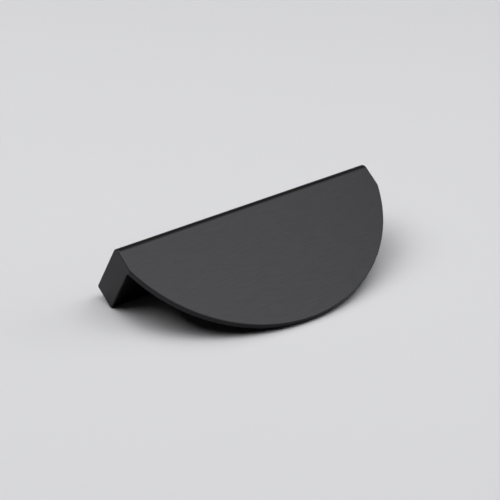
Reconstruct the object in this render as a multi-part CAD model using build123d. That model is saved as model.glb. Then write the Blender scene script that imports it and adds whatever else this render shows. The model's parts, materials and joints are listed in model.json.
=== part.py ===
"""Half moon cabinet pull: one length of extruded aluminium L section, milled to a half moon outline.

The frame is the pull's own, as it sits on a drawer front: X along the straight edge, Y into the drawer
front, Z up. The origin is on the mounting face, midway between the two screw holes.
"""

import os
from math import radians, tan

from build123d import *

# Driving dimensions, in millimetres and degrees

width = 120.0  # along the straight edge, end to end
height = 56.0  # from the straight edge down to the lowest point of the rim
projection = 29.0  # from the mounting face out to the front face
plate_thickness = 3.0
leg_thickness = 11.3  # the block that stands the plate off the drawer front
end_height = 11.8  # the short straight ends, from the straight edge to the start of the arc
end_blend_radius = 4.0  # eases each straight end into the arc

outer_corner_radius = 3.0  # along the straight edge, between the front face and the leg
inner_corner_radius = 1.0  # between the leg and the back of the plate
leg_edge_radius = 1.0  # the two long edges of the mounting face
milled_edge_radius = 0.5  # round the outline, front and back, where the cut edge is broken

screw_spacing = 96.0  # between the centres of the two tapped holes
screw_diameter = 4.0  # nominal thread size
screw_depth = 14.0  # full-diameter depth of each hole
screw_mouth_chamfer = 0.4
drill_point_angle = 118.0

# Places worked out from the dimensions

front = -projection
plate_back = front + plate_thickness
leg_top = leg_thickness / 2
leg_bottom = -leg_thickness / 2
rim_bottom = leg_top - height
arc_start = leg_top - end_height
overrun = plate_thickness  # how far the raw section reaches past the finished outline
blank_length = width + 2 * overrun
blank_bottom = rim_bottom - overrun


def corner(sketch, across, up):
    """The vertex of a sketch at a place in the sketch's own plane."""
    return sketch.vertices().sort_by_distance((across, up, 0))[0]


def extruded_section():
    """The raw L section, with its leg on top and its plate hanging down in front, along X."""
    with BuildSketch(Plane.YZ) as section:
        with BuildLine():
            Polyline(
                (0, leg_top),
                (front, leg_top),
                (front, blank_bottom),
                (plate_back, blank_bottom),
                (plate_back, leg_bottom),
                (0, leg_bottom),
                close=True,
            )
        make_face()
        fillet(corner(section, front, leg_top), outer_corner_radius)
        fillet(corner(section, plate_back, leg_bottom), inner_corner_radius)
        fillet(corner(section, 0, leg_top), leg_edge_radius)
        fillet(corner(section, 0, leg_bottom), leg_edge_radius)
    return extrude(section.sketch, amount=blank_length / 2, both=True)


def half_moon():
    """The finished outline, as a block that reaches past the section at the top, front and back."""
    above = leg_top + overrun
    left, right = -width / 2, width / 2
    with BuildSketch(Plane.XZ) as outline:
        with BuildLine():
            Polyline((left, arc_start), (left, above), (right, above), (right, arc_start))
            ThreePointArc((right, arc_start), (0, rim_bottom), (left, arc_start))
        make_face()
        fillet(corner(outline, left, arc_start), end_blend_radius)
        fillet(corner(outline, right, arc_start), end_blend_radius)
    return extrude(outline.sketch, amount=projection + overrun, both=True)


def is_sharp(edge, solid, least_angle=5, touching=1e-6):
    """True where the two faces along an edge meet at an angle."""
    middle = edge @ 0.5
    faces = [face for face in solid.faces() if face.distance_to(middle) < touching]
    normals = [face.normal_at(middle) for face in faces]
    return len(normals) == 2 and normals[0].get_angle(normals[1]) > least_angle


def tapped_hole():
    """A blind hole for a machine screw, mouth at the origin and running along -Y."""
    wall = screw_diameter / 2
    mouth = wall + screw_mouth_chamfer
    point = wall / tan(radians(drill_point_angle / 2))
    with BuildSketch(Plane.XY) as profile:
        with BuildLine():
            Polyline(
                (0, 0),
                (mouth, 0),
                (wall, -screw_mouth_chamfer),
                (wall, -screw_depth),
                (0, -screw_depth - point),
                close=True,
            )
        make_face()
    return revolve(profile.sketch, axis=Axis.Y)


# The pull

blank = extruded_section()
milled = blank & half_moon()
cut_edges = [edge for edge in milled.edges() if is_sharp(edge, milled)]
pull_body = fillet(cut_edges, milled_edge_radius)
for side in (-1, 1):
    pull_body -= Pos(side * screw_spacing / 2, 0, 0) * tapped_hole()

os.makedirs("parts", exist_ok=True)
export_step(pull_body, "parts/pull_body.step")
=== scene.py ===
"""Half moon cabinet pull in black anodised aluminium, laid on a pale table as if just taken from its box.

Everything is in metres, in the pull's own frame as it sits on a drawer front: X along its straight edge,
Y into the drawer front, Z up. On the table it lies face up, on the long edge of its leg and on its rim.
"""

import json
import math

import bmesh
import bpy
from mathutils import Matrix, Vector


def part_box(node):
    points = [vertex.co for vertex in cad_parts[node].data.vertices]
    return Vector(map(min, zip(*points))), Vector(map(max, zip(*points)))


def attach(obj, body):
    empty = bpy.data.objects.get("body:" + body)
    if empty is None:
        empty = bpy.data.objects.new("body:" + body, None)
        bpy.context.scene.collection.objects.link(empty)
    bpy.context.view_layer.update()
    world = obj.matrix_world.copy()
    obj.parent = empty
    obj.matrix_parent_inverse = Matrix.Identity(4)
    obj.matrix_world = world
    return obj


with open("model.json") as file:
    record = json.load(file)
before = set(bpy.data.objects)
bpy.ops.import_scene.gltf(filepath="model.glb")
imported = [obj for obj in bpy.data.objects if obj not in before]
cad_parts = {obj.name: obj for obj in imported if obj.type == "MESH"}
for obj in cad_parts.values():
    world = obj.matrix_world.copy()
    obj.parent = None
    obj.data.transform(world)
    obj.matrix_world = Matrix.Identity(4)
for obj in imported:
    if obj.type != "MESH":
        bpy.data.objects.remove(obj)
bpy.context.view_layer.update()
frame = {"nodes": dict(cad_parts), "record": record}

# The pull body is one length of extruded aluminium L section, milled to a half moon outline, brushed
# along its length and anodised matt black. The leg of the L is screwed to the drawer front.

MM = 0.001
pull_body = frame["nodes"]["pull_body"]
pull_low, pull_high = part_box("pull_body")


def srgb(hex_colour):
    """A written sRGB colour as the linear RGBA that a shader socket takes."""
    channels = [int(hex_colour[i:i + 2], 16) / 255 for i in (1, 3, 5)]
    return [c / 12.92 if c <= 0.04045 else ((c + 0.055) / 1.055) ** 2.4 for c in channels] + [1.0]


def add_node(tree, kind, sockets=None, links=None, **settings):
    """Adds a shader node with its settings, socket values and incoming links."""
    node = tree.nodes.new(kind)
    for name, value in settings.items():
        setattr(node, name, value)
    for name, value in (sockets or {}).items():
        node.inputs[name].default_value = value
    for name, source in (links or {}).items():
        tree.links.new(source, node.inputs[name])
    return node


def black_anodised_aluminium():
    """Brushed, then anodised: a dark satin metal, with hairlines along X that spread highlights across."""
    # Real hairlines are about 0.1 mm wide, too fine to show here, so they are drawn wider and deeper.
    hairline_width = 0.24 * MM
    hairline_length = 7.0 * MM
    hairline_depth = 0.008 * MM
    # Nearly all of the noise lies between these two levels, the bottom of a hairline and its crest.
    bottom = 0.3
    crest = 0.7
    bottom_colour = srgb("#272728")
    crest_colour = srgb("#2f2f30")
    bottom_roughness = 0.29
    crest_roughness = 0.35
    material = bpy.data.materials.new("black_anodised_brushed_aluminium")
    material.use_nodes = True
    tree = material.node_tree
    tree.nodes.clear()
    place = add_node(tree, "ShaderNodeTexCoord")
    stretched = add_node(
        tree,
        "ShaderNodeMapping",
        {"Scale": (1 / hairline_length, 1 / hairline_width, 1 / hairline_width)},
        {"Vector": place.outputs["Object"]},
    )
    hairlines = add_node(
        tree,
        "ShaderNodeTexNoise",
        {"Scale": 1.0, "Detail": 3.0, "Roughness": 0.6},
        {"Vector": stretched.outputs["Vector"]},
    )
    colour = add_node(tree, "ShaderNodeValToRGB", links={"Fac": hairlines.outputs["Fac"]})
    colour.color_ramp.elements[0].position = bottom
    colour.color_ramp.elements[0].color = bottom_colour
    colour.color_ramp.elements[1].position = crest
    colour.color_ramp.elements[1].color = crest_colour
    roughness = add_node(
        tree,
        "ShaderNodeMapRange",
        {"From Min": bottom, "From Max": crest, "To Min": bottom_roughness, "To Max": crest_roughness},
        {"Value": hairlines.outputs["Fac"]},
    )
    relief = add_node(
        tree, "ShaderNodeBump", {"Distance": hairline_depth}, {"Height": hairlines.outputs["Fac"]}
    )
    tangent = add_node(tree, "ShaderNodeTangent", direction_type="RADIAL", axis="X")
    shader = add_node(
        tree,
        "ShaderNodeBsdfPrincipled",
        {"Metallic": 1.0, "Anisotropic": 0.35, "Specular Tint": srgb("#eeeeee")},
        {
            "Base Color": colour.outputs["Color"],
            "Roughness": roughness.outputs["Result"],
            "Normal": relief.outputs["Normal"],
            "Tangent": tangent.outputs["Tangent"],
        },
    )
    add_node(tree, "ShaderNodeOutputMaterial", links={"Surface": shader.outputs["BSDF"]})
    return material


anodised = black_anodised_aluminium()
pull_body.data.materials.clear()
pull_body.data.materials.append(anodised)

# The tapped holes in the back of the leg take M4 screws. Their CAD bores are plain and of the thread's
# nominal size, so the ridge that the tap leaves is wound here inside each bore, in the body's own metal.

screw_holes = next(mount for mount in frame["record"]["mounts"] if mount["name"] == "screw_holes")["dims"]
bore_radius = screw_holes["hole_r_mm"] * MM
thread_pitch = 0.7 * MM
thread_start = 0.8 * MM
thread_turns = 16
steps_per_turn = 28
ridge_height = 0.379 * MM
ridge_crest = thread_pitch / 4
ridge_base = thread_pitch * 7 / 8
bite = 0.02 * MM
ridge_profile = (
    (bore_radius + bite, ridge_base / 2),
    (bore_radius - ridge_height, ridge_crest / 2),
    (bore_radius - ridge_height, -ridge_crest / 2),
    (bore_radius + bite, -ridge_base / 2),
)
merge_distance = 0.001 * MM
sharp_angle = math.radians(35)


def screw_thread(name, hole_x):
    """A right-handed ridge that winds from the mouth of a hole into the leg."""
    ridge = bmesh.new()
    corners = [
        ridge.verts.new((hole_x + radius, along - thread_start, 0)) for radius, along in ridge_profile
    ]
    start_face = ridge.faces.new(corners)
    bmesh.ops.spin(
        ridge,
        geom=[start_face],
        cent=(hole_x, 0, 0),
        axis=(0, -1, 0),
        dvec=(0, -thread_pitch / steps_per_turn, 0),
        angle=math.tau * thread_turns,
        steps=thread_turns * steps_per_turn,
        use_duplicate=False,
    )
    bmesh.ops.remove_doubles(ridge, verts=ridge.verts, dist=merge_distance)
    bmesh.ops.recalc_face_normals(ridge, faces=ridge.faces)
    for face in ridge.faces:
        face.smooth = True
    data = bpy.data.meshes.new(name)
    ridge.to_mesh(data)
    ridge.free()
    data.set_sharp_from_angle(angle=sharp_angle)
    data.materials.append(anodised)
    piece = bpy.data.objects.new(name, data)
    bpy.context.scene.collection.objects.link(piece)
    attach(piece, "root")


for side, hole in ((-1, "left"), (1, "right")):
    screw_thread("screw_thread_" + hole, side * screw_holes["spacing_x_mm"] / 2 * MM)

# The table is a plain pale board. The pull rests on it along the rounded inner edge of its leg and on the
# rounded back edge of its rim, so the board leans against those two edges.

leg_thickness = 2 * pull_high.z
leg_edge_radius = 1.0 * MM
plate_thickness = 3.0 * MM
rim_edge_radius = 0.5 * MM
leg_edge_centre = Vector((0, pull_high.y - leg_edge_radius, leg_edge_radius - leg_thickness / 2))
rim_edge_centre = Vector((0, pull_low.y + plate_thickness - rim_edge_radius, pull_low.z + rim_edge_radius))
span = leg_edge_centre - rim_edge_centre
lean = math.atan2(span.y, span.z) + math.asin((leg_edge_radius - rim_edge_radius) / span.length)
table_x = Vector((1, 0, 0))
table_back = Vector((0, math.sin(lean), math.cos(lean)))
table_up = table_x.cross(table_back)
table_centre = rim_edge_centre - table_up * rim_edge_radius + table_back * span.length / 2


def on_table(right, back, up):
    """The place that lies so far to the right, to the back and up from the middle of the table."""
    return table_centre + table_x * right + table_back * back + table_up * up


table_size = 3.0
table_turn = Matrix((table_x, table_back, table_up)).transposed().to_4x4()
table_place = Matrix.Translation(table_centre) @ table_turn
table_mesh = bmesh.new()
bmesh.ops.create_grid(table_mesh, x_segments=1, y_segments=1, size=table_size / 2)
bmesh.ops.transform(table_mesh, matrix=table_place, verts=table_mesh.verts)
table_data = bpy.data.meshes.new("table")
table_mesh.to_mesh(table_data)
table_mesh.free()
table = bpy.data.objects.new("table", table_data)
bpy.context.scene.collection.objects.link(table)


def pale_board():
    """Plain matt board that fades into the backdrop. It is clear from behind, to show the pull's back."""
    # The board is whole up to the first distance from the pull, and out of sight from the second on.
    fade_start = 0.35
    fade_end = 0.80
    material = bpy.data.materials.new("pale_matt_board")
    material.use_nodes = True
    tree = material.node_tree
    tree.nodes.clear()
    board = add_node(tree, "ShaderNodeBsdfDiffuse", {"Color": srgb("#dcdcdf")})
    clear = add_node(tree, "ShaderNodeBsdfTransparent")
    place = add_node(tree, "ShaderNodeNewGeometry")
    path = add_node(tree, "ShaderNodeLightPath")
    distance = add_node(
        tree, "ShaderNodeVectorMath", links={0: place.outputs["Position"]}, operation="LENGTH"
    )
    faded = add_node(
        tree,
        "ShaderNodeMapRange",
        {"From Min": fade_start, "From Max": fade_end, "To Min": 0.0},
        {"Value": distance.outputs["Value"], "To Max": path.outputs["Is Camera Ray"]},
    )
    behind = add_node(
        tree,
        "ShaderNodeMath",
        links={0: place.outputs["Backfacing"], 1: path.outputs["Transparent Depth"]},
        operation="MAXIMUM",
    )
    unseen = add_node(
        tree,
        "ShaderNodeMath",
        links={0: behind.outputs["Value"], 1: faded.outputs["Result"]},
        operation="MAXIMUM",
    )
    shown = add_node(
        tree,
        "ShaderNodeMixShader",
        links={0: unseen.outputs["Value"], 1: board.outputs["BSDF"], 2: clear.outputs["BSDF"]},
    )
    add_node(tree, "ShaderNodeOutputMaterial", links={"Surface": shown.outputs["Shader"]})
    return material


table_data.materials.append(pale_board())

# Two softboxes hang level over the table, the key behind the pull to its left and the other to its right,
# where the front face shows it. A third stands low on the right and eases the shadow of the key.


def turned(backwards, upright):
    """The turn of a lamp or camera whose back points backwards and whose X axis is square to upright."""
    rightwards = upright.cross(backwards).normalized()
    return Matrix((rightwards, backwards.cross(rightwards), backwards)).transposed().to_4x4()


def softbox(name, place, aim, width, depth, brightness):
    """A light panel that faces a place. Its brightness is the level at which a mirror would show it."""
    data = bpy.data.lights.new(name, "AREA")
    data.shape = "RECTANGLE"
    data.size = width
    data.size_y = depth
    data.energy = math.pi * width * depth * brightness
    lamp = bpy.data.objects.new(name, data)
    lamp.matrix_world = Matrix.Translation(place) @ turned((place - aim).normalized(), table_back)
    bpy.context.scene.collection.objects.link(lamp)


softbox(
    "key_softbox",
    place=on_table(right=-0.49, back=0.62, up=1.10),
    aim=on_table(right=-0.49, back=0.62, up=0),
    width=1.15,
    depth=1.70,
    brightness=2.40,
)
softbox(
    "front_softbox",
    place=on_table(right=0.33, back=-0.26, up=1.00),
    aim=on_table(right=0.33, back=-0.26, up=0),
    width=0.86,
    depth=0.75,
    brightness=2.85,
)
softbox(
    "side_softbox",
    place=on_table(right=1.10, back=-0.40, up=0.50),
    aim=on_table(right=0, back=0, up=0),
    width=0.80,
    depth=0.80,
    brightness=1.60,
)

# The room is a pale backdrop to the camera. The metal shows white walls that darken towards one corner,
# at the back and a little to the right, and hardly any of the room's light falls on the table.

backdrop_colour = srgb("#d9d9db")
wall_colour = srgb("#ffffff")
wall_level = 1.0
corner_level = 0.29
room_light_level = 0.015
dim_corner = (table_x * 0.35 + table_back * 0.90 + table_up * 0.15).normalized()
# Cosines of the angle to the corner at which the walls start to darken, and at which they are darkest.
darkening_start = 0.2
darkening_end = 0.6
room = bpy.data.worlds.new("room")
bpy.context.scene.world = room
room.use_nodes = True
room_tree = room.node_tree
room_tree.nodes.clear()
room_place = add_node(room_tree, "ShaderNodeTexCoord")
room_path = add_node(room_tree, "ShaderNodeLightPath")
towards_corner = add_node(
    room_tree,
    "ShaderNodeVectorMath",
    {1: dim_corner},
    {0: room_place.outputs["Generated"]},
    operation="DOT_PRODUCT",
)
darkening = add_node(
    room_tree,
    "ShaderNodeMapRange",
    {"From Min": darkening_start, "From Max": darkening_end, "To Min": wall_level, "To Max": corner_level},
    {"Value": towards_corner.outputs["Value"]},
)
room_light = add_node(
    room_tree, "ShaderNodeBackground", {"Color": backdrop_colour, "Strength": room_light_level}
)
walls = add_node(
    room_tree, "ShaderNodeBackground", {"Color": wall_colour}, {"Strength": darkening.outputs["Result"]}
)
backdrop = add_node(room_tree, "ShaderNodeBackground", {"Color": backdrop_colour, "Strength": 1.0})
# A glossy ray that has already left the table shows no walls, so the table's shadows stay dark.
seen_in_metal = add_node(
    room_tree,
    "ShaderNodeMath",
    links={0: room_path.outputs["Is Glossy Ray"], 1: room_path.outputs["Diffuse Depth"]},
    operation="SUBTRACT",
    use_clamp=True,
)
in_metal = add_node(
    room_tree,
    "ShaderNodeMixShader",
    links={
        0: seen_in_metal.outputs["Value"],
        1: room_light.outputs["Background"],
        2: walls.outputs["Background"],
    },
)
in_view = add_node(
    room_tree,
    "ShaderNodeMixShader",
    links={
        0: room_path.outputs["Is Camera Ray"],
        1: in_metal.outputs["Shader"],
        2: backdrop.outputs["Background"],
    },
)
add_node(room_tree, "ShaderNodeOutputWorld", links={"Surface": in_view.outputs["Shader"]})

# The camera looks down on the table from the front and a little to the left. It stands well back with a
# long lens, so the far end of the straight edge looks nearly as large as the near one.

view_turn = math.radians(35.22)
view_height = math.radians(30.68)
view_roll = math.radians(0.27)
view_distance = 0.890
view_aim = Vector((-9.06 * MM, pull_low.y, -14.70 * MM))
camera_data = bpy.data.cameras.new("camera")
camera_data.lens = 163.5
camera_data.sensor_width = 36.0
camera = bpy.data.objects.new("camera", camera_data)
bpy.context.scene.collection.objects.link(camera)
bpy.context.scene.camera = camera
level_backwards = -table_x * math.sin(view_turn) - table_back * math.cos(view_turn)
backwards = level_backwards * math.cos(view_height) + table_up * math.sin(view_height)
camera_place = Matrix.Translation(view_aim + backwards * view_distance)
camera.matrix_world = camera_place @ turned(backwards, table_up) @ Matrix.Rotation(view_roll, 4, "Z")

bpy.context.scene.view_settings.view_transform = "Standard"
